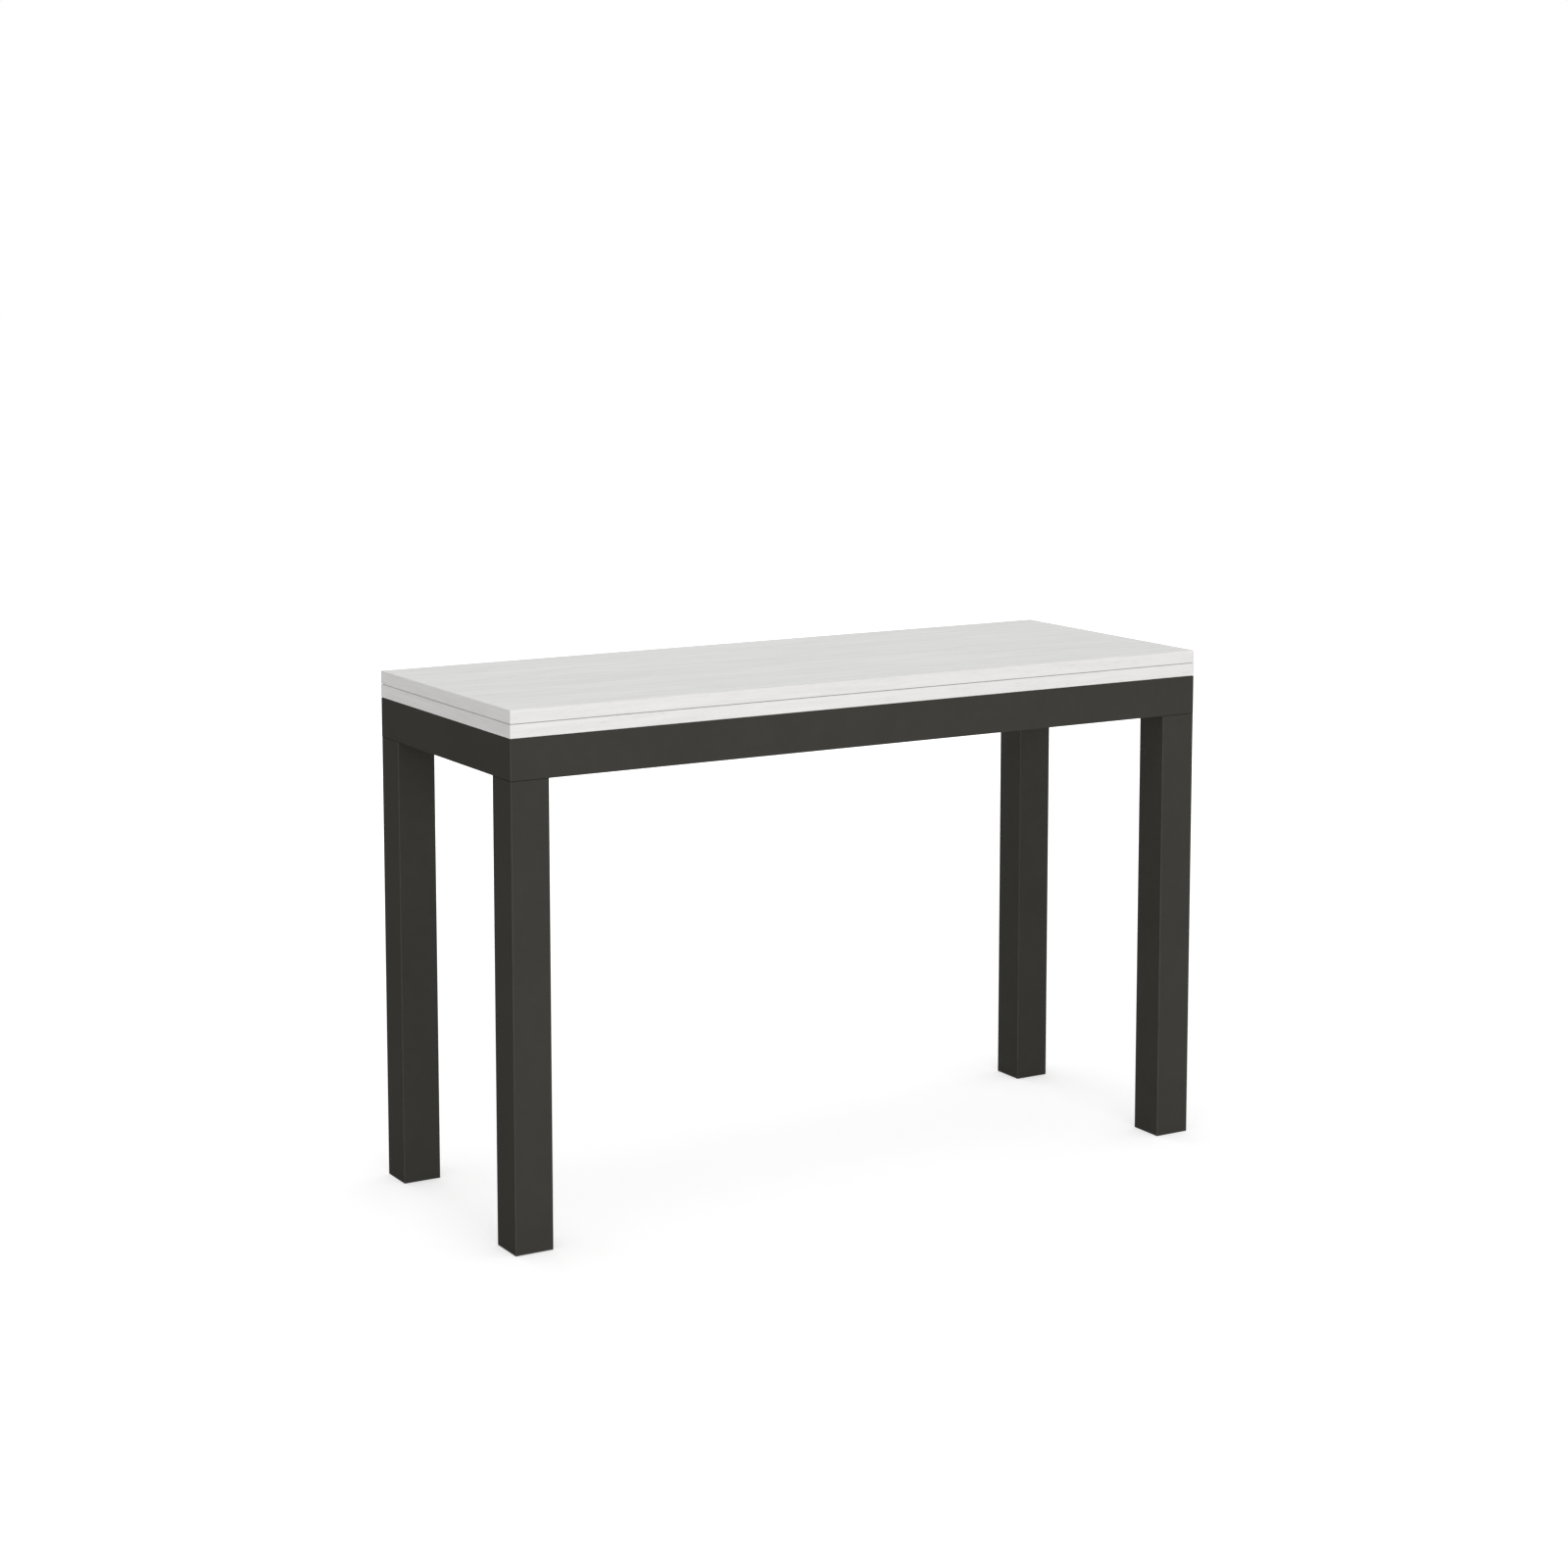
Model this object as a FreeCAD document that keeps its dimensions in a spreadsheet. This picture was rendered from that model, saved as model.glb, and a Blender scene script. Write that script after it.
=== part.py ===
"""Extending console table: a steel frame on four legs under two stacked leaves.

The lower leaf slides forward by half its depth on two guides. The upper leaf is hinged to the
lower one along the back edge and opens like a book, so the open top is twice as deep and stays
centred over the frame. The table is modelled closed.

Millimetres, +Z up, +X along the length, -Y to the front. The origin is on the floor under the centre.
"""
import FreeCAD, Part
import os
import re
import Sketcher
from FreeCAD import Placement, Rotation, Vector

SIZES = {
    # Leaves
    "top_length": 1200,
    "top_depth": 450,
    "leaf_thickness": 20,
    "leaf_gap": 0.6,
    "band_thickness": 2,
    "edge_radius": 1,
    "back_radius": 1.7,
    "bumper_radius": 4,
    "bumper_inset": 30,
    # Welded frame
    "frame_reveal": 0.2,
    "apron_height": 60,
    "rail_width": 20,
    "rail_wall": 1.5,
    "rail_radius": 1,
    "rail_tip": 1,
    "corner_thickness": 4,
    "corner_reach": 46,
    "corner_cut": 22,
    # Glide strips on top of the frame
    "glide_thickness": 0.5,
    "glide_length": 60,
    "glide_width": 12,
    "glide_inset": 180,
    "glide_side_inset": 125,
    # Legs and feet
    "leg_height": 683,
    "leg_width": 60,
    "leg_wall": 1.5,
    "leg_radius": 1.5,
    "leg_end_radius": 0.5,
    "leg_reveal": 0.2,
    "leg_plate": 5,
    "foot_flange": 2,
    "foot_spigot": 14,
    "foot_wall": 3,
    "foot_radius": 0.6,
    "foot_clearance": 0.15,
    # Leg bolts and washers
    "bolt_radius": 3,
    "bolt_length": 16,
    "bolt_head_radius": 5,
    "bolt_head_height": 6,
    "bolt_key": 5,
    "bolt_key_depth": 3,
    "bolt_inset": 10,
    "washer_radius": 6,
    "washer_thickness": 1.6,
    "hole_clearance": 0.3,
    "thread_clearance": 0.05,
    # Slide guides
    "guide_inset": 270,
    "guide_width": 34,
    "guide_height": 24,
    "guide_wall": 2,
    "guide_slot": 14,
    "guide_drop": 3,
    "guide_radius": 2,
    "access_radius": 6,
    "bracket_thickness": 3,
    "bracket_ear": 16,
    "bracket_foot": 28,
    "bracket_radius": 2,
    "stop_length": 20,
    "stop_clearance": 0.2,
    "slide_clearance": 0.3,
    # Guide screws
    "guide_screw_radius": 2.5,
    "guide_screw_length": 14,
    "guide_screw_head_radius": 4.5,
    "guide_screw_head_height": 2.6,
    # Slider screws
    "slider_screw_radius": 2.25,
    "slider_screw_head_radius": 4.2,
    "slider_screw_head_height": 2.8,
    "slider_screw_inset": 20,
    "slider_recess": 9,
    "slider_radius": 2,
    "screw_skin": 5,
    # Flush hinges with two pivots
    "hinge_inset": 150,
    "hinge_width": 32,
    "hinge_length": 40,
    "hinge_depth": 6.5,
    "hinge_corner": 5,
    "hinge_clearance": 0.2,
    "mortise_clearance": 0.15,
    "link_width": 10,
    "pin_radius": 1,
    "pin_clearance": 0.05,
    "pin_setback": 0.5,
    "hinge_screw_radius": 1.75,
    "hinge_screw_head_radius": 3.4,
    "hinge_screw_first": 14,
    "hinge_screw_pitch": 15,
    "recess_width": 0.9,
    "recess_depth": 1.2,
}

PLACES = {
    # Levels above the floor
    "frame_top": "leg_height + apron_height",
    "leaf_bottom": "frame_top + glide_thickness",
    "lower_face": "leaf_bottom + leaf_thickness",
    "upper_face": "lower_face + leaf_gap",
    "guide_top": "frame_top - guide_drop",
    "guide_bottom": "guide_top - guide_height",
    "bracket_bottom": "guide_bottom - bracket_thickness",
    "washer_top": "leg_height + corner_thickness + washer_thickness",
    # Half sizes in plan
    "top_x": "top_length / 2",
    "top_y": "top_depth / 2",
    "frame_x": "top_x - frame_reveal",
    "frame_y": "top_y - frame_reveal",
    "inner_x": "frame_x - rail_width",
    "inner_y": "frame_y - rail_width",
    "leg_x": "frame_x - leg_reveal - leg_width / 2",
    "leg_y": "frame_y - leg_reveal - leg_width / 2",
    "leg_bore": "leg_width / 2 - leg_wall",
    "bolt_far": "leg_reveal + leg_width - leg_wall - rail_width - bolt_inset",
    "glide_spread": "top_x - glide_inset",
    "glide_side_spread": "top_y - glide_side_inset",
    # Slide
    "guide_spread": "top_x - guide_inset",
    "travel": "top_depth / 2",
    "guide_length": "2 * (inner_y - bracket_thickness)",
    "guide_bore": "guide_width / 2 - guide_wall",
    "bracket_screw_x": "guide_width / 2 + bracket_ear / 2",
    "guide_middle": "guide_bottom + guide_height / 2",
    "slider_length": "guide_length - 2 * stop_length - 2 * stop_clearance - travel",
    "slider_y": "travel / 2",
    "slider_bottom": "guide_bottom + guide_wall + slide_clearance",
    "slider_shoulder": "guide_top - guide_wall - slide_clearance",
    "slider_seat": "slider_bottom + slider_recess",
    "slider_screw_y": "slider_length / 2 - slider_screw_inset",
    "slider_screw_length": "lower_face - screw_skin - slider_seat",
    "hinge_spread": "top_x - hinge_inset",
    # At this depth the rounded back edges of the leaves clear each other through the whole swing
    "pivot_depth": "back_radius + 0.6 * leaf_gap",
    "pivot_span": "2 * pivot_depth + leaf_gap",
    "pivot_y": "top_y - pivot_depth",
    "link_radius": "pivot_depth - hinge_clearance",
    "link_slot": "pivot_depth + link_radius + hinge_clearance",
    "hinge_screw_length": "leaf_thickness - screw_skin",
    "hinge_head_depth": "hinge_screw_head_radius - hinge_screw_radius",
}

AXES = {"X": Vector(1, 0, 0), "Y": Vector(0, 1, 0), "Z": Vector(0, 0, 1)}
SIDES = {"left": -1, "right": 1}
ENDS = {"front": -1, "back": 1}
CORNERS = [(end, side) for end in ENDS for side in SIDES]
HINGES = {"left": -1, "centre": 0, "right": 1}
# Each leg's bolts, from the inner corner of the rails
BOLTS = (("bolt_inset", "bolt_far"), ("bolt_far", "bolt_inset"))

doc = FreeCAD.newDocument("console_table")


def formula(text):
    """The text with each known name given its sheet."""

    def full(match):
        name = match.group()
        if name in SIZES:
            return f"Sizes.{name}"
        return f"Places.{name}" if name in PLACES else name

    return re.sub(r"[a-z]\w*", full, text)


def make_sheet(name, cells):
    """A sheet with an alias for each cell."""
    sheet = doc.addObject("Spreadsheet::Sheet", name)
    for row, (alias, content) in enumerate(cells.items(), 1):
        sheet.set(f"A{row}", alias)
        sheet.set(f"B{row}", content)
        sheet.setAlias(f"B{row}", alias)
    return sheet


sizes = make_sheet("Sizes", {alias: str(number) for alias, number in SIZES.items()})
make_sheet("Places", {alias: "=" + formula(text).replace("Places.", "") for alias, text in PLACES.items()})
doc.recompute()
nodes = []


def value(text):
    return float(sizes.evalExpression(formula(text)))


def bind(item, **sizes_of):
    for name, text in sizes_of.items():
        item.setExpression(name, formula(text))


def place(item, spot, axis="Z", angle=0):
    """Turns the item about an axis through its origin and puts the origin at a spot."""
    item.Placement = Placement(Vector(), Rotation(AXES[axis], angle))
    for letter, text in zip("xyz", spot):
        item.setExpression(f"Placement.Base.{letter}", formula(text))


def new_body(label, node=True):
    body = doc.addObject("PartDesign::Body", label)
    body.Label = label
    if node:
        nodes.append(body)
    return body


def block(body, x, y, z, cut=False):
    """A block between two values on each axis, added to the body or cut from it."""
    item = body.newObject(f"PartDesign::{'Subtractive' if cut else 'Additive'}Box", "block")
    for size, (low, high) in zip(("Length", "Width", "Height"), (x, y, z)):
        item.setExpression(size, formula(f"({high}) - ({low})"))
    place(item, (x[0], y[0], z[0]))
    return item


def rod(body, radius, length, start, axis="Z", cut=False):
    """A cylinder running from its start along an axis, added to the body or cut from it."""
    item = body.newObject(f"PartDesign::{'Subtractive' if cut else 'Additive'}Cylinder", "rod")
    bind(item, Radius=radius, Height=length)
    turn = {"X": ("Y", 90), "Y": ("X", -90), "Z": ("Z", 0)}[axis]
    place(item, start, *turn)
    return item


def bore(body, radius, length, start, axis="Z"):
    return rod(body, radius, length, start, axis, cut=True)


def both(half):
    """The two values at equal distances from zero."""
    return (f"-({half})", half)


def outline(body, plane, points, level="0"):
    """A closed polygon sketched on one of the body's own planes, every corner held by its formulas."""
    sketch = body.newObject("Sketcher::SketchObject", "outline")
    support = next(item for item in body.Origin.OriginFeatures if item.Role == plane)
    sketch.AttachmentSupport = (support, [""])
    sketch.MapMode = "FlatFace"
    sketch.setExpression("AttachmentOffset.Base.z", formula(level))
    corners = [Vector(value(u), value(v), 0) for u, v in points]
    count = len(corners)
    for index in range(count):
        sketch.addGeometry(Part.LineSegment(corners[index], corners[(index + 1) % count]), False)
    for index in range(count):
        sketch.addConstraint(Sketcher.Constraint("Coincident", index, 2, (index + 1) % count, 1))
    for index, (corner, spot) in enumerate(zip(corners, points)):
        for kind, number, text in zip(("DistanceX", "DistanceY"), corner, spot):
            held = sketch.addConstraint(Sketcher.Constraint(kind, -1, 1, index, 1, number))
            sketch.setExpression(f"Constraints[{held}]", formula(text))
    return sketch


def pad(body, sketch, length, middle=False):
    item = body.newObject("PartDesign::Pad", "pad")
    item.Profile = sketch
    item.Midplane = middle
    bind(item, Length=length)
    return item


def pocket_up(body, sketch, length):
    """A pocket that runs from the sketch along its normal."""
    item = body.newObject("PartDesign::Pocket", "pocket")
    item.Profile = sketch
    item.Reversed = True
    bind(item, Length=length)
    return item


def revolve(body, points):
    """A turned shape about the body's own Z, from corners given as radius and height."""
    item = body.newObject("PartDesign::Revolution", "turned")
    sketch = outline(body, "XZ_Plane", points)
    item.Profile = sketch
    item.ReferenceAxis = (sketch, ["V_Axis"])
    item.Angle = 360
    body.Tip = item
    return item


def near(number, text):
    return abs(number - value(text)) < 0.001


def runs(edge, axis):
    """True for a straight edge along an axis."""
    first, last = edge.Vertexes[0].Point, edge.Vertexes[-1].Point
    return edge.Length > 0.001 and abs(abs((last - first).dot(AXES[axis])) - edge.Length) < 0.001


def lies(edge, axis, *levels):
    """True if the whole edge has one of the given levels on an axis."""
    return any(all(near(v.Point.dot(AXES[axis]), level) for v in edge.Vertexes) for level in levels)


def fillet(body, radius, wanted):
    """Rounds those edges of the body so far that the test wants."""
    doc.recompute()
    before = body.Tip
    names = [f"Edge{index}" for index, edge in enumerate(before.Shape.Edges, 1) if wanted(edge)]
    item = body.newObject("PartDesign::Fillet", "fillet")
    item.Base = (before, names)
    bind(item, Radius=radius)
    return item


def copies(label, item, spots):
    """One node of several separate copies. Each spot is a place, with an axis and angle if it is turned."""
    links = []
    for spot, *turn in spots:
        link = doc.addObject("App::Link", f"{label}_copy")
        link.LinkedObject = item
        place(link, spot, *turn)
        links.append(link)
    group = doc.addObject("Part::Compound", label)
    group.Label = label
    group.Links = links
    nodes.append(group)
    return group


def make_rail(label, half, spot, angle, screw_holes=()):
    """A mitred rectangular tube. Its outer face is at y = 0 and its inner face at y = rail_width."""
    body = new_body(label)
    plan = [
        (f"-{half} + rail_tip", "0"),
        (f"{half} - rail_tip", "0"),
        (f"{half} - rail_tip / 2", "rail_tip / 2"),
        (f"{half} - rail_width", "rail_width"),
        (f"-{half} + rail_width", "rail_width"),
        (f"-{half} + rail_tip / 2", "rail_tip / 2"),
    ]
    pad(body, outline(body, "XY_Plane", plan), "apron_height")
    fillet(
        body,
        "rail_radius",
        lambda edge: runs(edge, "X") and lies(edge, "Z", "0", "apron_height"),
    )
    hollow = [
        (f"-{half} + rail_wall", "rail_wall"),
        (f"{half} - rail_wall", "rail_wall"),
        (f"{half} - rail_width + rail_wall", "rail_width - rail_wall"),
        (f"-{half} + rail_width - rail_wall", "rail_width - rail_wall"),
    ]
    pocket_up(body, outline(body, "XY_Plane", hollow, "rail_wall"), "apron_height - 2 * rail_wall")
    for x in screw_holes:
        start = (x, "rail_width - 2 * rail_wall", "guide_middle - leg_height")
        bore(body, "guide_screw_radius + thread_clearance", "3 * rail_wall", start, "Y")
    place(body, spot, "Z", angle)


def make_frame():
    holes = [
        f"{side} * guide_spread + {ear} * bracket_screw_x" for side in (-1, 1) for ear in (-1, 1)
    ]
    make_rail("rail_front", "frame_x", ("0", "-frame_y", "leg_height"), 0, holes)
    make_rail("rail_back", "frame_x", ("0", "frame_y", "leg_height"), 180, holes)
    make_rail("rail_left", "frame_y", ("-frame_x", "0", "leg_height"), -90)
    make_rail("rail_right", "frame_y", ("frame_x", "0", "leg_height"), 90)
    turns = {("front", "left"): 0, ("front", "right"): 90, ("back", "right"): 180, ("back", "left"): 270}
    for (end, side), angle in turns.items():
        make_corner_plate(f"corner_plate_{end}_{side}", SIDES[side], ENDS[end], angle)


def make_corner_plate(label, side, end, angle):
    """A plate welded between two rails, level with their undersides, that the leg is bolted to."""
    body = new_body(label)
    plan = [
        ("0", "0"),
        ("corner_reach", "0"),
        ("corner_reach", "corner_reach - corner_cut"),
        ("corner_reach - corner_cut", "corner_reach"),
        ("0", "corner_reach"),
    ]
    pad(body, outline(body, "XY_Plane", plan), "corner_thickness")
    for x, y in BOLTS:
        bore(body, "bolt_radius + hole_clearance", "corner_thickness", (x, y, "0"))
    place(body, (f"{side} * inner_x", f"{end} * inner_y", "leg_height"), "Z", angle)


def make_glides():
    """Thin strips on top of the rails that the leaves rest and slide on."""
    strip = new_body("glide_strip", node=False)
    block(strip, both("glide_length / 2"), both("glide_width / 2"), ("0", "glide_thickness"))
    spots = []
    for end in ENDS.values():
        for step in HINGES.values():
            x = f"{step} * glide_spread"
            spots.append(((x, f"{end} * (frame_y - rail_width / 2)", "frame_top"),))
    for side in SIDES.values():
        for step in ENDS.values():
            y = f"{step} * glide_side_spread"
            spots.append(((f"{side} * (frame_x - rail_width / 2)", y, "frame_top"), "Z", 90))
    copies("glide_strips", strip, spots)


def make_leg(label, spot):
    """A square tube that stands under a corner of the frame."""
    body = new_body(label)
    half, bore_half = "leg_width / 2", "leg_bore"
    block(body, both(half), both(half), ("foot_flange", "leg_height"))
    fillet(body, "leg_radius", lambda edge: runs(edge, "Z"))
    fillet(body, "leg_end_radius", lambda edge: lies(edge, "Z", "leg_height"))
    block(body, both(bore_half), both(bore_half), ("foot_flange", "leg_height"), cut=True)
    place(body, spot)


def make_leg_plate(label, spot, side, end):
    """A plate welded in the top of the leg, with two tapped holes."""
    body = new_body(label)
    block(body, both("leg_bore"), both("leg_bore"), ("leg_height - leg_plate", "leg_height"))
    for x, y in BOLTS:
        start = (
            f"{side} * (inner_x - {x} - leg_x)",
            f"{end} * (inner_y - {y} - leg_y)",
            "leg_height - leg_plate",
        )
        bore(body, "bolt_radius + thread_clearance", "leg_plate", start)
    place(body, spot)


def make_foot_cap(label, spot):
    """A plug in the foot of the leg, with a flange that the table stands on."""
    body = new_body(label)
    half = "leg_width / 2"
    spigot = "leg_bore - foot_clearance"
    hollow = "leg_bore - foot_clearance - foot_wall"
    block(body, both(half), both(half), ("0", "foot_flange"))
    fillet(body, "leg_radius", lambda edge: runs(edge, "Z"))
    fillet(body, "foot_radius", lambda edge: lies(edge, "Z", "0"))
    block(body, both(spigot), both(spigot), ("foot_flange", "foot_flange + foot_spigot"))
    block(body, both(hollow), both(hollow), ("foot_flange", "foot_flange + foot_spigot"), cut=True)
    place(body, spot)


def make_legs():
    for end, side in CORNERS:
        name = f"{end}_{side}"
        spot = (f"{SIDES[side]} * leg_x", f"{ENDS[end]} * leg_y", "0")
        make_leg(f"leg_{name}", spot)
        make_leg_plate(f"leg_plate_{name}", spot, SIDES[side], ENDS[end])
        make_foot_cap(f"foot_cap_{name}", spot)


def make_leg_bolts():
    """Two socket-head bolts with washers hold each leg to its corner plate."""
    bolt = new_body("leg_bolt", node=False)
    revolve(
        bolt,
        [
            ("0", "-bolt_length"),
            ("bolt_radius", "-bolt_length"),
            ("bolt_radius", "0"),
            ("bolt_head_radius", "0"),
            ("bolt_head_radius", "bolt_head_height"),
            ("0", "bolt_head_height"),
        ],
    )
    key = bolt.newObject("PartDesign::SubtractivePrism", "key")
    key.Polygon = 6
    bind(key, Circumradius="bolt_key / sqrt(3)", Height="bolt_key_depth")
    place(key, ("0", "0", "bolt_head_height - bolt_key_depth"))

    washer = new_body("leg_washer", node=False)
    rod(washer, "washer_radius", "washer_thickness", ("0", "0", "-washer_thickness"))
    hole = "bolt_radius + hole_clearance"
    bore(washer, hole, "washer_thickness", ("0", "0", "-washer_thickness"))

    spots = []
    for end, side in CORNERS:
        for x, y in BOLTS:
            across = f"{SIDES[side]} * (inner_x - {x})"
            along = f"{ENDS[end]} * (inner_y - {y})"
            spots.append(((across, along, "washer_top"),))
    copies("leg_bolts", bolt, spots)
    copies("leg_washers", washer, spots)


def make_guide(label, side):
    """A channel across the frame, open along the top, that holds a slider under its lips."""
    body = new_body(label)
    profile = [
        ("-guide_width / 2", "0"),
        ("guide_width / 2", "0"),
        ("guide_width / 2", "guide_height"),
        ("guide_slot / 2", "guide_height"),
        ("guide_slot / 2", "guide_height - guide_wall"),
        ("guide_bore", "guide_height - guide_wall"),
        ("guide_bore", "guide_wall"),
        ("-guide_bore", "guide_wall"),
        ("-guide_bore", "guide_height - guide_wall"),
        ("-guide_slot / 2", "guide_height - guide_wall"),
        ("-guide_slot / 2", "guide_height"),
        ("-guide_width / 2", "guide_height"),
    ]
    pad(body, outline(body, "XZ_Plane", profile), "guide_length", middle=True)
    fillet(
        body,
        "guide_radius",
        lambda edge: runs(edge, "Y") and lies(edge, "X", *both("guide_width / 2")),
    )
    for end in ENDS.values():
        screw = f"{end} * (guide_length / 2 - stop_length / 2)"
        bore(body, "guide_screw_radius + hole_clearance", "guide_wall", ("0", screw, "0"))
        access = f"slider_y + {end} * slider_screw_y"
        bore(body, "access_radius", "guide_wall", ("0", access, "0"))
    place(body, (f"{side} * guide_spread", "0", "guide_bottom"))


def make_guides():
    for name, side in SIDES.items():
        make_guide(f"guide_{name}", side)

    bracket = new_body("guide_bracket", node=False)
    ear = "guide_width / 2 + bracket_ear"
    bolt_y = "bracket_thickness + stop_length / 2"
    block(bracket, both(ear), ("0", "bracket_thickness"), ("-bracket_thickness", "guide_height"))
    foot = ("0", "bracket_thickness + bracket_foot")
    block(bracket, both("guide_width / 2"), foot, ("-bracket_thickness", "0"))
    fillet(
        bracket,
        "bracket_radius",
        lambda edge: runs(edge, "Z") and lies(edge, "Y", "bracket_thickness + bracket_foot"),
    )
    for sign in (-1, 1):
        start = (f"{sign} * bracket_screw_x", "0", "guide_height / 2")
        bore(bracket, "guide_screw_radius + hole_clearance", "bracket_thickness", start, "Y")
    start = ("0", bolt_y, "-bracket_thickness")
    bore(bracket, "guide_screw_radius + hole_clearance", "bracket_thickness", start)

    stop = new_body("guide_stop", node=False)
    stop_top = "guide_height - guide_wall - slide_clearance"
    length = ("bracket_thickness", "bracket_thickness + stop_length")
    block(stop, both("guide_bore - slide_clearance"), length, ("guide_wall", stop_top))
    depth = "guide_screw_length - bracket_thickness - guide_wall + thread_clearance"
    bore(stop, "guide_screw_radius + thread_clearance", depth, ("0", bolt_y, "guide_wall"))

    screw = new_body("guide_screw", node=False)
    revolve(
        screw,
        [
            ("0", "-guide_screw_length"),
            ("guide_screw_radius", "-guide_screw_length"),
            ("guide_screw_radius", "0"),
            ("guide_screw_head_radius", "0"),
            ("guide_screw_head_radius", "guide_screw_head_height / 2"),
            ("guide_screw_head_radius / 2", "guide_screw_head_height"),
            ("0", "guide_screw_head_height"),
        ],
    )
    cross_recess(screw, "guide_screw_head_radius", "guide_screw_head_height")

    ends = []
    screws = []
    for side in SIDES.values():
        x = f"{side} * guide_spread"
        for end in ENDS.values():
            angle = 90 + 90 * end
            ends.append(((x, f"{end} * inner_y", "guide_bottom"), "Z", angle))
            for ear in (-1, 1):
                across = f"{x} + {ear} * bracket_screw_x"
                face = f"{end} * (inner_y - bracket_thickness)"
                screws.append(((across, face, "guide_middle"), "X", 90 * end))
            under = f"{end} * (inner_y - ({bolt_y}))"
            screws.append(((x, under, "bracket_bottom"), "X", 180))
    copies("guide_brackets", bracket, ends)
    copies("guide_stops", stop, ends)
    copies("guide_screws", screw, screws)


def cross_recess(body, radius, top):
    """A cross recess in the head of a screw."""
    bottom = f"{top} - recess_depth"
    for x, y in (("recess_width / 2", f"{radius} / 2"), (f"{radius} / 2", "recess_width / 2")):
        block(body, both(x), both(y), (bottom, top), cut=True)


def make_sliders():
    """Two sliders under the lower leaf run in the guides, each held by two screws from below."""
    foot = "guide_bore - slide_clearance"
    neck = "guide_slot / 2 - slide_clearance"
    profile = [
        (f"-({foot})", "slider_bottom"),
        (foot, "slider_bottom"),
        (foot, "slider_shoulder"),
        (neck, "slider_shoulder"),
        (neck, "leaf_bottom"),
        (f"-({neck})", "leaf_bottom"),
        (f"-({neck})", "slider_shoulder"),
        (f"-({foot})", "slider_shoulder"),
    ]
    for name, side in SIDES.items():
        body = new_body(f"slider_{name}")
        pad(body, outline(body, "XZ_Plane", profile), "slider_length", middle=True)
        fillet(
            body,
            "slider_radius",
            lambda edge: runs(edge, "Z") and lies(edge, "X", *both(foot)),
        )
        for end in ENDS.values():
            start = ("0", f"{end} * slider_screw_y", "slider_bottom")
            height = "leaf_bottom - slider_bottom"
            bore(body, "slider_screw_radius + hole_clearance", height, start)
            bore(body, "slider_screw_head_radius + hole_clearance", "slider_recess", start)
        place(body, (f"{side} * guide_spread", "slider_y", "0"))

    screw = new_body("slider_screw", node=False)
    revolve(
        screw,
        [
            ("0", "-slider_screw_length"),
            ("slider_screw_radius", "-slider_screw_length + slider_screw_radius"),
            ("slider_screw_radius", "0"),
            ("slider_screw_head_radius", "0"),
            ("slider_screw_head_radius", "slider_screw_head_height / 2"),
            ("slider_screw_head_radius / 2", "slider_screw_head_height"),
            ("0", "slider_screw_head_height"),
        ],
    )
    cross_recess(screw, "slider_screw_head_radius", "slider_screw_head_height")
    copies("slider_screws", screw, [(spot, "X", 180) for spot in slider_screw_spots()])


def slider_screw_spots():
    return [
        (f"{side} * guide_spread", f"slider_y + {end} * slider_screw_y", "slider_seat")
        for side in SIDES.values()
        for end in ENDS.values()
    ]


def layer(leaf, first, last):
    """The levels between two depths behind a leaf's inner face, lowest first."""
    if leaf == "lower":
        return (f"lower_face - ({last})", f"lower_face - ({first})")
    return (f"upper_face + {first}", f"upper_face + {last}")


def hinge_span(step):
    """The mortise of a hinge along the leaf."""
    half = "(hinge_width / 2 + mortise_clearance)"
    return (f"{step} * hinge_spread - {half}", f"{step} * hinge_spread + {half}")


def hinge_screw_rows():
    """How far the screws of a hinge are from the back edge."""
    return ("hinge_screw_first", "hinge_screw_first + hinge_screw_pitch")


def make_panel(leaf):
    """The board of a leaf, mortised along the back edge for the hinges."""
    body = new_body(f"{leaf}_panel")
    core_y = "top_y - band_thickness"
    mortise_front = "top_y - hinge_length - mortise_clearance"
    block(body, both("top_x - band_thickness"), both(core_y), layer(leaf, "0", "leaf_thickness"))
    mortise = layer(leaf, "0", "hinge_depth")
    for step in HINGES.values():
        block(body, hinge_span(step), (mortise_front, core_y), mortise, cut=True)
    fillet(
        body,
        "hinge_corner",
        lambda edge: runs(edge, "Z") and lies(edge, "Y", mortise_front),
    )
    pilot = layer(leaf, "hinge_depth", "hinge_screw_length + thread_clearance")
    for step in HINGES.values():
        for row in hinge_screw_rows():
            start = (f"{step} * hinge_spread", f"top_y - ({row})", pilot[0])
            length = f"({pilot[1]}) - ({pilot[0]})"
            bore(body, "hinge_screw_radius + thread_clearance", length, start)
    if leaf == "lower":
        for x, y, _ in slider_screw_spots():
            length = "leaf_thickness - screw_skin + thread_clearance"
            bore(body, "slider_screw_radius + thread_clearance", length, (x, y, "leaf_bottom"))


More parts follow.
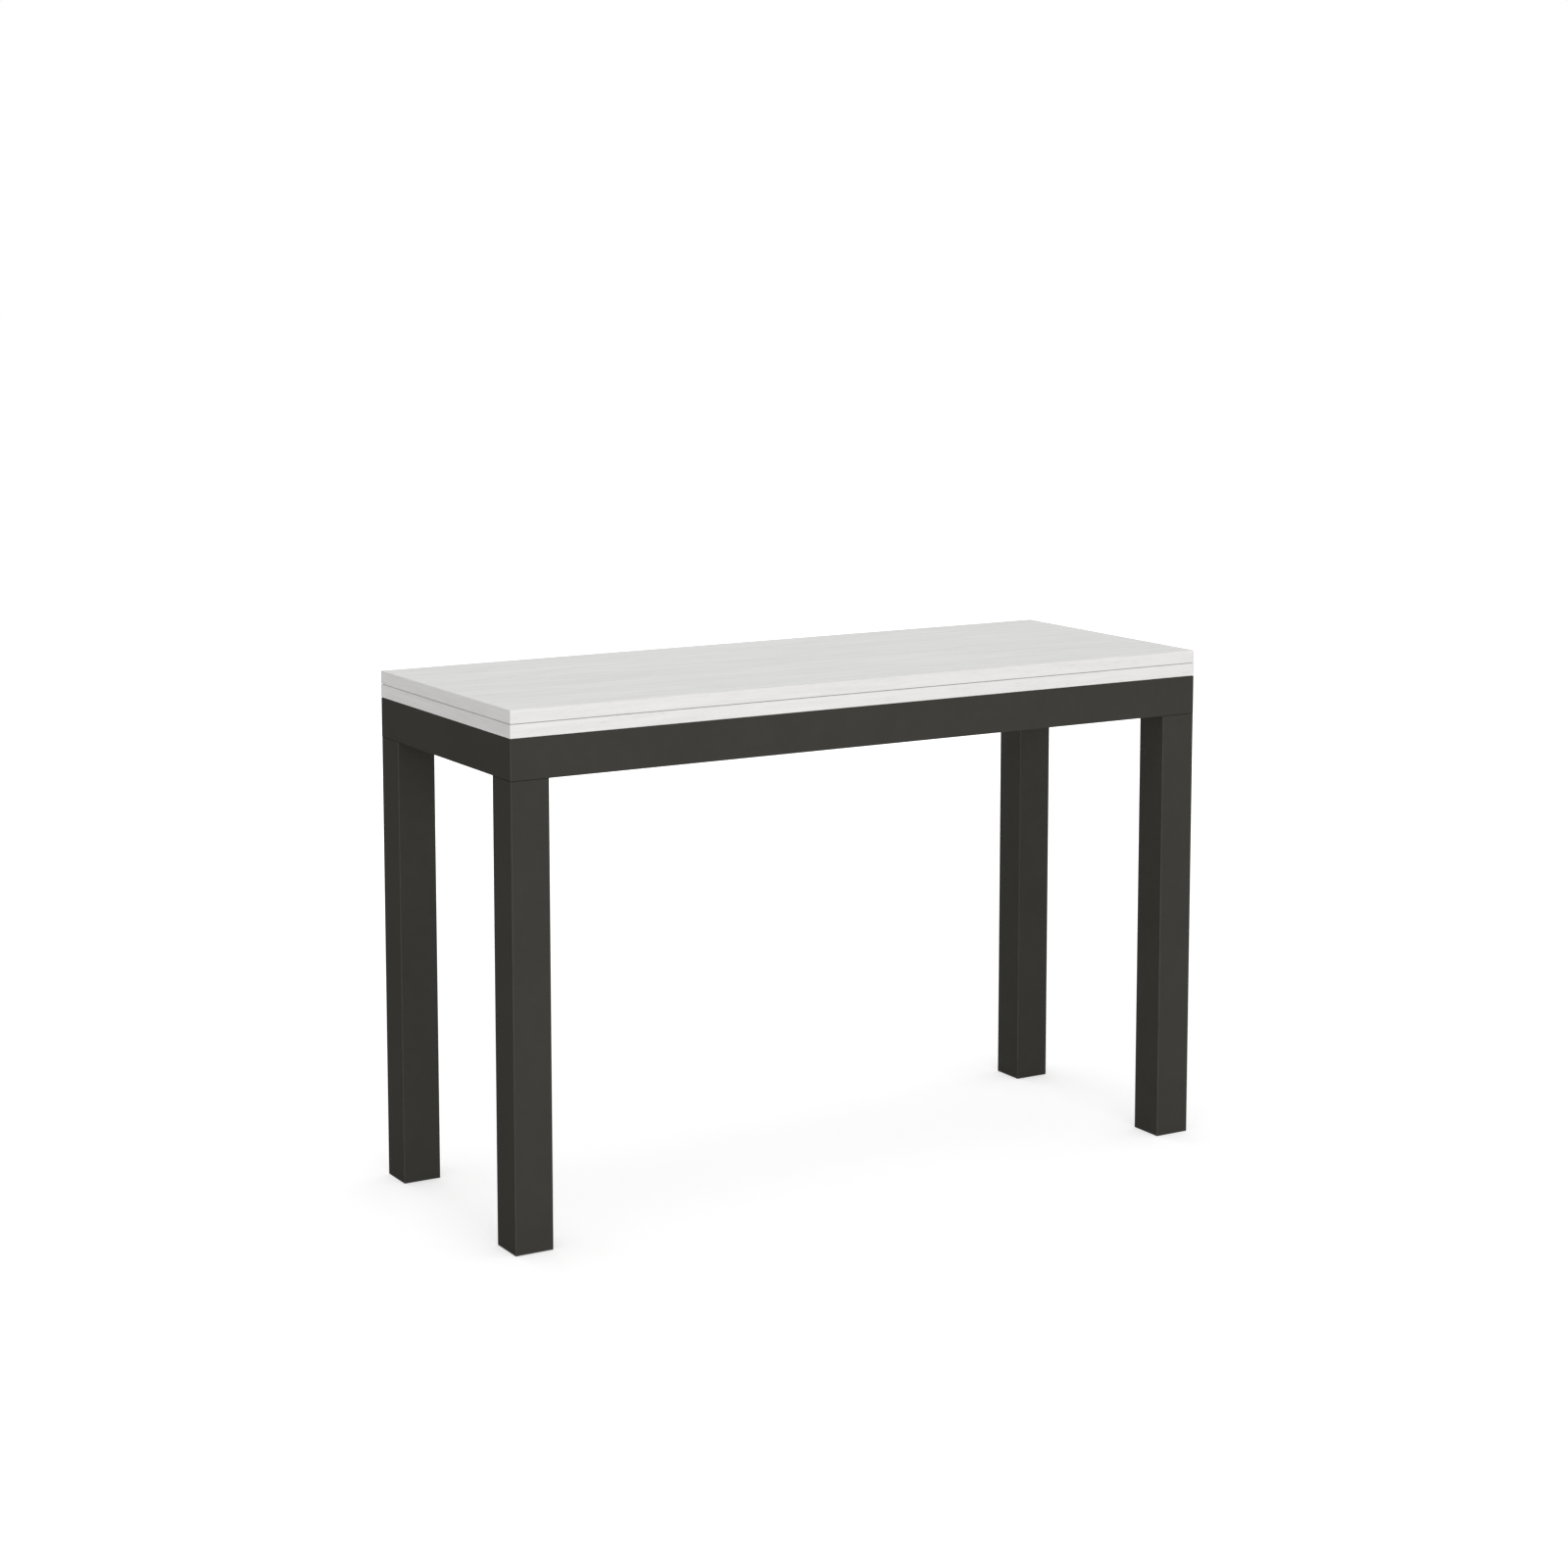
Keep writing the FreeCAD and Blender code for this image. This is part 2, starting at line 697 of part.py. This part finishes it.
def make_bands(leaf):
    """The edge bands of a leaf. The long ones cover the ends of the short ones.

    The back edges of the inner faces turn past each other as the table opens, so they are rounder.
    """
    levels = layer(leaf, "0", "leaf_thickness")
    inner_face = f"{leaf}_face"
    outer_face = layer(leaf, "leaf_thickness", "leaf_thickness")[0]
    tips = both("top_x")
    for name, end in ENDS.items():
        body = new_body(f"{leaf}_band_{name}")
        outer, inner = f"{end} * top_y", f"{end} * (top_y - band_thickness)"
        span = (outer, inner) if end < 0 else (inner, outer)
        block(body, tips, span, levels)
        if name == "front":
            fillet(body, "edge_radius", lambda edge: not lies(edge, "Y", inner))
        else:
            fillet(
                body,
                "back_radius",
                lambda edge: runs(edge, "X") and lies(edge, "Y", outer) and lies(edge, "Z", inner_face),
            )
            fillet(
                body,
                "edge_radius",
                lambda edge: not lies(edge, "Y", inner)
                and (lies(edge, "X", *tips) or lies(edge, "Z", outer_face)),
            )
            for step in HINGES.values():
                block(body, hinge_span(step), span, layer(leaf, "0", "hinge_depth"), cut=True)
    for name, side in SIDES.items():
        body = new_body(f"{leaf}_band_{name}")
        outer, inner = f"{side} * top_x", f"{side} * (top_x - band_thickness)"
        span = (outer, inner) if side < 0 else (inner, outer)
        block(body, span, both("top_y - band_thickness"), levels)
        fillet(body, "edge_radius", lambda edge: runs(edge, "Y") and lies(edge, "X", outer))


def make_hinge_block(label, spot, angle):
    """Half of a flush hinge, its top at z = 0 and its back end at y = 0. The pin runs through two ears."""
    body = new_body(label)
    block(body, both("hinge_width / 2"), ("-hinge_length", "0"), ("-hinge_depth", "0"))
    fillet(
        body,
        "hinge_corner",
        lambda edge: runs(edge, "Z") and lies(edge, "Y", "-hinge_length"),
    )
    slot = ("-link_slot", "0")
    block(body, both("link_width / 2 + hinge_clearance"), slot, slot, cut=True)
    fillet(
        body,
        "pivot_depth",
        lambda edge: runs(edge, "X") and lies(edge, "Y", "0") and lies(edge, "Z", "0"),
    )
    start = ("-hinge_width / 2", "-pivot_depth", "-pivot_depth")
    bore(body, "pin_radius + pin_clearance", "hinge_width", start, "X")
    for row in hinge_screw_rows():
        y = f"-({row})"
        shank = "hinge_screw_radius + hinge_clearance"
        bore(body, shank, "hinge_depth", ("0", y, "-hinge_depth"))
        sink = body.newObject("PartDesign::SubtractiveCone", "sink")
        bind(sink, Radius1=shank, Radius2="hinge_screw_head_radius + hinge_clearance")
        bind(sink, Height="hinge_head_depth")
        place(sink, ("0", y, "-hinge_head_depth"))
    place(body, spot, "Y", angle)


def make_hinge_link(label, x):
    """A link between the two pins of a hinge, upright while the table is closed."""
    body = new_body(label)
    half = both("link_width / 2")
    block(body, half, both("link_radius"), ("0", "pivot_span"))
    for height in ("0", "pivot_span"):
        rod(body, "link_radius", "link_width", (half[0], "0", height), "X")
    for height in ("0", "pivot_span"):
        bore(body, "pin_radius + pin_clearance", "link_width", (half[0], "0", height), "X")
    place(body, (x, "pivot_y", "lower_face - pivot_depth"))


def make_hinges():
    turned = {"lower": 0, "upper": 180}
    for leaf, angle in turned.items():
        for name, step in HINGES.items():
            spot = (f"{step} * hinge_spread", "top_y", f"{leaf}_face")
            make_hinge_block(f"{leaf}_hinge_block_{name}", spot, angle)
    for name, step in HINGES.items():
        make_hinge_link(f"hinge_link_{name}", f"{step} * hinge_spread")

    pin = new_body("hinge_pin", node=False)
    length = "hinge_width - 2 * pin_setback"
    rod(pin, "pin_radius", length, (f"-({length}) / 2", "0", "0"), "X")

    screw = new_body("hinge_screw", node=False)
    revolve(
        screw,
        [
            ("0", "-hinge_screw_length"),
            ("hinge_screw_radius", "-hinge_screw_length + hinge_screw_radius"),
            ("hinge_screw_radius", "-hinge_head_depth"),
            ("hinge_screw_head_radius", "0"),
            ("0", "0"),
        ],
    )
    cross_recess(screw, "hinge_screw_head_radius", "0")

    for leaf, angle in turned.items():
        level = layer(leaf, "pivot_depth", "pivot_depth")[0]
        pins = [((f"{step} * hinge_spread", "pivot_y", level),) for step in HINGES.values()]
        copies(f"{leaf}_hinge_pins", pin, pins)
        screws = [
            ((f"{step} * hinge_spread", f"top_y - ({row})", f"{leaf}_face"), "Y", angle)
            for step in HINGES.values()
            for row in hinge_screw_rows()
        ]
        copies(f"{leaf}_hinge_screws", screw, screws)


def make_bumpers():
    """Two clear discs near the front corners keep the closed leaves apart."""
    disc = new_body("bumper", node=False)
    rod(disc, "bumper_radius", "leaf_gap", ("0", "0", "0"))
    spots = [
        ((f"{side} * (top_x - bumper_inset)", "-top_y + bumper_inset", "lower_face"),)
        for side in SIDES.values()
    ]
    copies("bumpers", disc, spots)


def write_nodes():
    doc.recompute()
    for item in doc.Objects:
        if any(word in item.State for word in ("Invalid", "Error")):
            raise RuntimeError(f"{item.Label} didn't build: {item.State}")
    os.makedirs("parts", exist_ok=True)
    for node in nodes:
        shape = node.Shape
        if shape.isNull() or not shape.isValid() or not shape.Solids:
            raise RuntimeError(f"{node.Label} has no valid solid")
        shape.exportStep(f"parts/{node.Label}.step")


make_frame()
make_glides()
make_legs()
make_leg_bolts()
make_guides()
make_sliders()
for leaf_name in ("lower", "upper"):
    make_panel(leaf_name)
    make_bands(leaf_name)
make_hinges()
make_bumpers()
write_nodes()
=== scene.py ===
"""Extending console table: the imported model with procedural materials, on a pale floor in soft light."""
import math

import bpy
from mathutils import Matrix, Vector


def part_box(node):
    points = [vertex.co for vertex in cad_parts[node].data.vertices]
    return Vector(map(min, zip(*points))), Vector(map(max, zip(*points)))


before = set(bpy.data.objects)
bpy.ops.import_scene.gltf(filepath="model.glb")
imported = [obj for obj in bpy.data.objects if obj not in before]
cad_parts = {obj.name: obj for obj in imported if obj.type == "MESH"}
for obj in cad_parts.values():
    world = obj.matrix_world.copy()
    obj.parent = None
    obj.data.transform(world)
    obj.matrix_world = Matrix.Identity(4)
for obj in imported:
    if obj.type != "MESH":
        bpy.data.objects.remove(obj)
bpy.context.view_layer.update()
scene = bpy.context.scene
scene.view_settings.view_transform = "Standard"

# Grain directions of the boards and bands, as turns about Z that lay the grain along X
ALONG_X = (0, 0, 0)
ALONG_Y = (0, 0, math.radians(-90))

# Lightest and darkest colour of the boards' faces and of their edge bands
PANEL = ((0.838, 0.840, 0.825), (0.676, 0.678, 0.664))
BAND = ((0.806, 0.799, 0.783), (0.680, 0.673, 0.657))
# Half length and half width of a board inside its bands, in metres
PANEL_HALF = (0.598, 0.223)
# Colour of the glue line between a board and its bands
GLUE_LINE = (0.42, 0.40, 0.37)

# Powder coat: its two tones, a painted highlight on its upright corners, and painted shade in the groove
# above the legs
COAT = ((0.0433, 0.0418, 0.0364), (0.0522, 0.0506, 0.0443))
# Painted highlight colour for the upright rounded corners
CORNER_HIGHLIGHT = (0.098, 0.096, 0.089)
# Painted shade colour for the groove where the legs meet the apron
SEAM_SHADE = (0.012, 0.012, 0.011)

# Name, place, aim, width and height in metres, and watts
LAMPS = (
    ("key", (-0.4, -6.0, 1.3), (0.0, 0.0, 0.5), (4.6, 2.6), 164.0),
    ("overhead", (0.0, 0.0, 3.3), (0.0, 0.0, 0.0), (2.6, 2.6), 17.0),
    ("fill", (-0.5, 3.6, 1.1), (0.0, 0.0, 0.5), (1.6, 1.6), 26.0),
    ("side", (4.2, 0.4, 0.9), (0.0, 0.0, 0.5), (1.6, 1.6), 16.0),
)


# Node helpers


def new_material(name):
    """A material with its node tree and its Principled shader."""
    material = bpy.data.materials.new(name)
    material.use_nodes = True
    tree = material.node_tree
    return material, tree, tree.nodes["Principled BSDF"]


def add(tree, kind, inputs=(), **settings):
    """Adds a node. inputs pairs a socket's name or index with a value, or with an output to link."""
    node = tree.nodes.new("ShaderNode" + kind)
    for name, setting in settings.items():
        setattr(node, name, setting)
    for key, source in inputs:
        if isinstance(source, bpy.types.NodeSocket):
            tree.links.new(source, node.inputs[key])
        else:
            node.inputs[key].default_value = source
    return node


def calc(tree, operation, a, b=0.0):
    """A Math node's result."""
    return add(tree, "Math", ((0, a), (1, b)), operation=operation).outputs[0]


def times(tree, a, b):
    """A Math node's product."""
    return calc(tree, "MULTIPLY", a, b)


def weigh(tree, *parts):
    """The sum of sources, each times its weight."""
    total = times(tree, *parts[0])
    for source, weight in parts[1:]:
        total = calc(tree, "ADD", total, times(tree, source, weight))
    return total


def spread(tree, source, low, high, to_low=0.0, to_high=1.0):
    """source, taken from low..high to to_low..to_high and held there at both ends."""
    return add(
        tree, "MapRange",
        ((0, source), (1, low), (2, high), (3, to_low), (4, to_high)), clamp=True,
    ).outputs[0]


def rgb(red, green, blue):
    return (red, green, blue, 1.0)


def mix(tree, factor, first, second):
    """A colour between first and second, each an output or a plain colour."""
    first, second = (c if isinstance(c, bpy.types.NodeSocket) else rgb(*c) for c in (first, second))
    return add(tree, "Mix", ((0, factor), (6, first), (7, second)), data_type="RGBA").outputs[2]


def tinge(tree, colour, where, share, tint):
    """colour, taken by share towards tint where the mask is 1."""
    return mix(tree, times(tree, where, share), colour, tint)


def scaled(colour, factor, lift=0.0):
    """A plain colour made lighter or darker, up to white."""
    return tuple(min(1.0, factor * c + lift) for c in colour)


def place(tree):
    """The piece's own coordinates, which ride with it."""
    return add(tree, "TexCoord").outputs["Object"]


def stretch(tree, vector, factors):
    return add(tree, "VectorMath", ((0, vector), (1, factors)), operation="MULTIPLY").outputs[0]


def noise(tree, vector, scale, detail=2.0, roughness=0.5, distortion=0.0):
    """Noise from 0 to 1. scale is in cycles a metre, one number or one for each axis."""
    if isinstance(scale, tuple):
        vector, scale = stretch(tree, vector, scale), 1.0
    return add(
        tree, "TexNoise",
        (("Vector", vector), ("Scale", scale), ("Detail", detail), ("Roughness", roughness),
         ("Distortion", distortion)),
    ).outputs[0]


def lengths(tree, vector):
    """How far a vector goes along X, Y and Z, either way."""
    plain = add(tree, "VectorMath", ((0, vector),), operation="ABSOLUTE").outputs[0]
    return add(tree, "SeparateXYZ", ((0, plain),)).outputs


def rounded_edge(tree):
    """1 on the middle of a rounded edge between faces square to the axes, 0 on the flat faces."""
    parts = lengths(tree, add(tree, "TexCoord").outputs["Normal"])
    largest = calc(tree, "MAXIMUM", calc(tree, "MAXIMUM", parts[0], parts[1]), parts[2])
    return spread(tree, largest, 0.985, 0.75)


def standing_edge(tree):
    """1 across a rounded edge that stands upright, 0 on the flat faces and on level edges."""
    parts = lengths(tree, add(tree, "TexCoord").outputs["Normal"])
    corner = spread(tree, calc(tree, "MAXIMUM", parts[0], parts[1]), 0.996, 0.92)
    return times(tree, corner, spread(tree, parts[2], 0.3, 0.1))


def joint_line(tree, level, inner):
    """1 in the groove at a level, outside the inner corner of its pieces in plan."""
    parts = lengths(tree, place(tree))
    away = calc(tree, "ABSOLUTE", calc(tree, "SUBTRACT", parts[2], level))
    line = spread(tree, away, 0.0009, 0.0003)
    for part, edge in zip(parts, inner):
        line = times(tree, line, calc(tree, "GREATER_THAN", part, edge))
    return line


def border_line(tree, halves):
    """1 along the rim of a board of these half sizes, 0 inside."""
    return calc(tree, "MAXIMUM", *(
        spread(tree, part, half - 0.0004, half - 0.0001)
        for part, half in zip(lengths(tree, place(tree)), halves)))


def bump(tree, height, distance, strength):
    return add(
        tree, "Bump", (("Height", height), ("Distance", distance), ("Strength", strength))).outputs[0]


def link(tree, shader, **sources):
    """Links outputs to the shader's sockets, named with _ for a space."""
    for name, source in sources.items():
        tree.links.new(source, shader.inputs[name.replace("_", " ")])


# Materials


def make_ash(name, turn, seed, light, dark, border=None):
    """White ash laminate: long straight streaks, fine fibres and embossed pores along the grain.

    border is the half length and half width of a board whose glue line to its edge bands shows.
    """
    material, tree, shader = new_material(name)
    grain = add(tree, "Mapping", ((0, place(tree)), (1, seed), (2, turn))).outputs[0]
    sway = times(tree, noise(tree, grain, (2.3, 9.0, 9.0), 2.0), 0.03)
    aside = add(tree, "CombineXYZ", ((1, sway),)).outputs[0]
    swayed = add(tree, "VectorMath", ((0, grain), (1, aside)), operation="ADD").outputs[0]
    bands = noise(tree, swayed, (1.7, 30.0, 30.0), 3.0, 0.55)
    streaks = noise(tree, swayed, (6.0, 105.0, 105.0), 3.0, 0.65)
    fibres = noise(tree, swayed, (16.0, 480.0, 480.0), 2.0, 0.6)
    pores = noise(tree, swayed, (42.0, 1500.0, 1500.0), 1.0, 0.5)
    pore = times(tree, spread(tree, pores, 0.60, 0.72), spread(tree, streaks, 0.42, 0.62))

    figure = weigh(
        tree,
        (spread(tree, bands, 0.3, 0.7), 0.24),
        (spread(tree, streaks, 0.28, 0.72), 0.42),
        (spread(tree, fibres, 0.25, 0.75), 0.34),
    )
    colour = mix(tree, figure, light, dark)
    colour = tinge(tree, colour, pore, 0.55, scaled(dark, 0.82))
    touched = spread(tree, noise(tree, grain, 45.0, 3.0), 0.4, 0.7)
    handled = times(tree, rounded_edge(tree), touched)
    colour = tinge(tree, colour, handled, 0.3, scaled(dark, 0.9))
    if border:
        colour = tinge(tree, colour, border_line(tree, border), 0.35, GLUE_LINE)

    rough = calc(tree, "ADD", spread(tree, fibres, 0.25, 0.75, 0.46, 0.56), times(tree, pore, 0.16))
    relief = calc(tree, "SUBTRACT", times(tree, fibres, 0.35), pore)
    link(
        tree, shader, Base_Color=colour,
        Roughness=calc(tree, "SUBTRACT", rough, times(tree, handled, 0.08)),
        Normal=bump(tree, relief, 0.00012, 0.45),
    )
    shader.inputs["Specular IOR Level"].default_value = 0.4
    return material


def make_coat(leg_box):
    """Warm anthracite powder coat: fine texture, faint mottling, and a painted highlight that lightens the
    upright corners.

    Painted shade darkens the groove where the legs meet the apron. leg_box is a leg's lowest and highest
    corner.
    """
    material, tree, shader = new_material("anthracite_powder_coat")
    at = place(tree)
    mottle = noise(tree, at, 8.0, 3.0)
    cloud = noise(tree, at, 55.0, 3.0, 0.6)
    peel = noise(tree, at, 380.0, 2.0)
    speckle = noise(tree, at, 1700.0, 2.0, 0.6)

    tone = weigh(tree, (mottle, 0.4), (cloud, 0.25), (speckle, 0.35))
    colour = mix(tree, spread(tree, tone, 0.3, 0.7), *COAT)
    # Painted highlight: upright rounded corners taken lighter, in patches given by noise
    highlight_breakup = spread(tree, noise(tree, at, 30.0, 4.0, 0.65), 0.25, 0.6, 0.45, 1.0)
    lightened = times(tree, standing_edge(tree), highlight_breakup)
    colour = tinge(tree, colour, lightened, 0.6, CORNER_HIGHLIGHT)
    inner = [min(abs(a), abs(b)) for a, b in zip(*leg_box)][:2]
    # Painted shade: a dark line in the groove where the legs meet the apron
    colour = tinge(tree, colour, joint_line(tree, leg_box[1][2], inner), 0.6, SEAM_SHADE)

    rough = spread(tree, calc(tree, "ADD", cloud, speckle), 0.6, 1.4, 0.58, 0.72)
    relief = calc(tree, "ADD", times(tree, peel, 0.6), speckle)
    link(
        tree, shader, Base_Color=colour,
        Roughness=calc(tree, "SUBTRACT", rough, times(tree, lightened, 0.12)),
        Normal=bump(tree, relief, 0.00012, 0.4),
    )
    shader.inputs["Specular IOR Level"].default_value = 0.008
    return material


def make_metal(name, light, dark, rough, brush, tint=None):
    """A plated metal with brushed or rolled lines, stains and rubbed edges. tint is a passivation colour."""
    material, tree, shader = new_material(name)
    at = place(tree)
    lines = noise(tree, at, brush, 3.0, 0.6)
    stain = noise(tree, at, 60.0, 4.0, 0.6)
    spots = noise(tree, at, 900.0, 2.0, 0.5)
    tone = weigh(tree, (lines, 0.5), (stain, 0.5))
    colour = mix(tree, spread(tree, tone, 0.32, 0.68), dark, light)
    if tint:
        stained = spread(tree, noise(tree, at, 22.0, 2.0), 0.45, 0.75, 0.0, 0.4)
        colour = mix(tree, stained, colour, tint)
    colour = tinge(tree, colour, rounded_edge(tree), 0.35, scaled(light, 1.15))
    relief = calc(tree, "ADD", lines, times(tree, spots, 0.4))
    link(
        tree, shader, Base_Color=colour,
        Roughness=spread(tree, calc(tree, "ADD", lines, stain), 0.7, 1.3, rough - 0.07, rough + 0.09),
        Normal=bump(tree, relief, 0.00004, 0.35),
    )
    shader.inputs["Metallic"].default_value = 1.0
    return material


def make_moulded(name, light, dark, rough, grain, relief):
    """A moulded or extruded plastic or rubber: fine spark-eroded grain, faint flow marks, scuffed edges."""
    material, tree, shader = new_material(name)
    at = place(tree)
    flow = noise(tree, at, 35.0, 3.0, 0.55, 0.6)
    fine = noise(tree, at, grain, 2.0, 0.6)
    tone = weigh(tree, (flow, 0.6), (fine, 0.4))
    colour = mix(tree, spread(tree, tone, 0.3, 0.7), dark, light)
    lightened = spread(tree, noise(tree, at, 120.0, 3.0), 0.35, 0.65)
    scuffed = times(tree, rounded_edge(tree), lightened)
    colour = tinge(tree, colour, scuffed, 0.4, scaled(light, 1.4, 0.01))
    link(
        tree, shader, Base_Color=colour,
        Roughness=spread(tree, tone, 0.3, 0.7, rough - 0.06, rough + 0.08),
        Normal=bump(tree, fine, relief, 0.4),
    )
    return material


def make_clear():
    """Clear soft polyurethane, a little milky, with a moulded skin."""
    material, tree, shader = new_material("clear_polyurethane")
    at = place(tree)
    milky = noise(tree, at, 240.0, 3.0)
    skin = noise(tree, at, 1500.0, 2.0)
    link(
        tree, shader,
        Base_Color=mix(tree, spread(tree, milky, 0.3, 0.7), (0.80, 0.83, 0.83), (0.90, 0.92, 0.92)),
        Roughness=spread(tree, calc(tree, "ADD", milky, skin), 0.7, 1.3, 0.10, 0.24),
        Normal=bump(tree, skin, 0.00003, 0.3),
    )
    shader.inputs["Transmission Weight"].default_value = 0.75
    shader.inputs["IOR"].default_value = 1.48
    return material


# Materials by slot, then those of the boards and bands by node
materials = {
    "anthracite_coat": make_coat(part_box("leg_front_left")),
    "zinc_steel": make_metal("zinc_plate", (0.62, 0.63, 0.65), (0.50, 0.51, 0.53),
                             0.34, (60.0, 60.0, 900.0), (0.62, 0.60, 0.50)),
    "hinge_nickel": make_metal("satin_nickel", (0.50, 0.48, 0.445), (0.38, 0.365, 0.335),
                               0.36, (90.0, 1400.0, 1400.0)),
    "foot_plastic": make_moulded("black_polyethylene", (0.034, 0.033, 0.031), (0.024, 0.023, 0.022),
                                 0.56, 1400.0, 0.00010),
    "stop_rubber": make_moulded("black_rubber", (0.026, 0.026, 0.026), (0.017, 0.017, 0.017),
                                0.72, 1100.0, 0.00012),
    "slider_nylon": make_moulded("natural_nylon", (0.79, 0.78, 0.73), (0.71, 0.70, 0.64),
                                 0.42, 800.0, 0.00006),
    "glide_tape": make_moulded("glide_film", (0.085, 0.085, 0.085), (0.062, 0.062, 0.062),
                               0.38, 650.0, 0.00005),
    "clear_bumper": make_clear(),
}
for leaf, step in (("upper", 0.0), ("lower", 3.7)):
    materials[leaf + "_panel"] = make_ash(
        f"white_ash_{leaf}", ALONG_X, (step, 1.3 + step, 0.4), *PANEL, border=PANEL_HALF)
    for end, turn in (("front", ALONG_X), ("back", ALONG_X), ("left", ALONG_Y), ("right", ALONG_Y)):
        offset = step + 0.9 * len(materials)
        materials[f"{leaf}_band_{end}"] = make_ash(
            f"white_ash_edge_{leaf}_{end}", turn, (offset, 2.1 * offset, 0.7 * offset), *BAND)

for name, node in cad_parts.items():
    slot = node.material_slots[0]
    slot.material = materials.get(name) or materials[slot.material.name]


# Floor, light and camera


def view_rays(tree):
    """1 for what the camera sees, straight on or in a mirror or a lens, 0 for the light on the object."""
    path = add(tree, "LightPath").outputs
    seen = calc(tree, "MAXIMUM", path["Is Camera Ray"], path["Is Glossy Ray"])
    return calc(tree, "MAXIMUM", seen, path["Is Transmission Ray"])


def make_floor(half=30.0, drop=0.0003):
    """A pale floor that keeps the soft shadow and goes out to white."""
    mesh = bpy.data.meshes.new("floor")
    mesh.from_pydata(
        [(-half, -half, -drop), (half, -half, -drop), (half, half, -drop), (-half, half, -drop)],
        [], [(0, 1, 2, 3)])
    floor = bpy.data.objects.new("floor", mesh)
    scene.collection.objects.link(floor)
    material, tree, shader = new_material("pale_floor")
    far = add(tree, "VectorMath", ((0, place(tree)),), operation="LENGTH").outputs["Value"]
    shade = noise(tree, place(tree), 3.0, 2.0)
    link(
        tree, shader,
        Base_Color=mix(tree, shade, (0.72, 0.72, 0.72), (0.74, 0.74, 0.74)),
        Emission_Strength=times(tree, view_rays(tree), spread(tree, far, 1.0, 4.0, 0.5, 1.0)),
    )
    shader.inputs["Emission Color"].default_value = rgb(1.0, 1.0, 1.0)
    shader.inputs["Roughness"].default_value = 1.0
    shader.inputs["Specular IOR Level"].default_value = 0.0
    mesh.materials.append(material)


def make_world(level=0.58):
    """Even light from all round, behind which the camera sees white."""
    world = bpy.data.worlds.new("studio")
    scene.world = world
    world.use_nodes = True
    tree = world.node_tree
    tree.links.new(
        spread(tree, view_rays(tree), 0.0, 1.0, level, 1.0), tree.nodes["Background"].inputs["Strength"])
    tree.nodes["Background"].inputs["Color"].default_value = rgb(1.0, 1.0, 1.0)


def make_lamp(name, location, target, size, power):
    """A soft box of a width and a height at location, turned to target."""
    data = bpy.data.lights.new(name, "AREA")
    data.shape, data.energy = "RECTANGLE", power
    data.size, data.size_y = size
    lamp = bpy.data.objects.new(name, data)
    lamp.location = location
    aim = [t - p for t, p in zip(target, location)]
    tilt = math.atan2(math.hypot(aim[0], aim[1]), -aim[2])
    lamp.rotation_euler = (tilt, 0.0, math.atan2(-aim[0], aim[1]))
    lamp.visible_camera = False
    scene.collection.objects.link(lamp)


def make_camera(location, pitch, yaw, lens, shift):
    """A long lens a little above the table, from its front left.

    pitch is down from level and yaw to the right of +Y, both in degrees.
    """
    data = bpy.data.cameras.new("camera")
    data.sensor_width, data.lens, data.shift_y = 36.0, lens, shift
    camera = bpy.data.objects.new("camera", data)
    camera.location = location
    camera.rotation_euler = (math.radians(90.0 - pitch), 0.0, math.radians(-yaw))
    scene.collection.objects.link(camera)
    scene.camera = camera


make_floor()
make_world()
for lamp in LAMPS:
    make_lamp(*lamp)
make_camera(location=(-2.4238, -4.0393, 1.4476), pitch=6.819, yaw=30.718, lens=70.48, shift=-0.12)
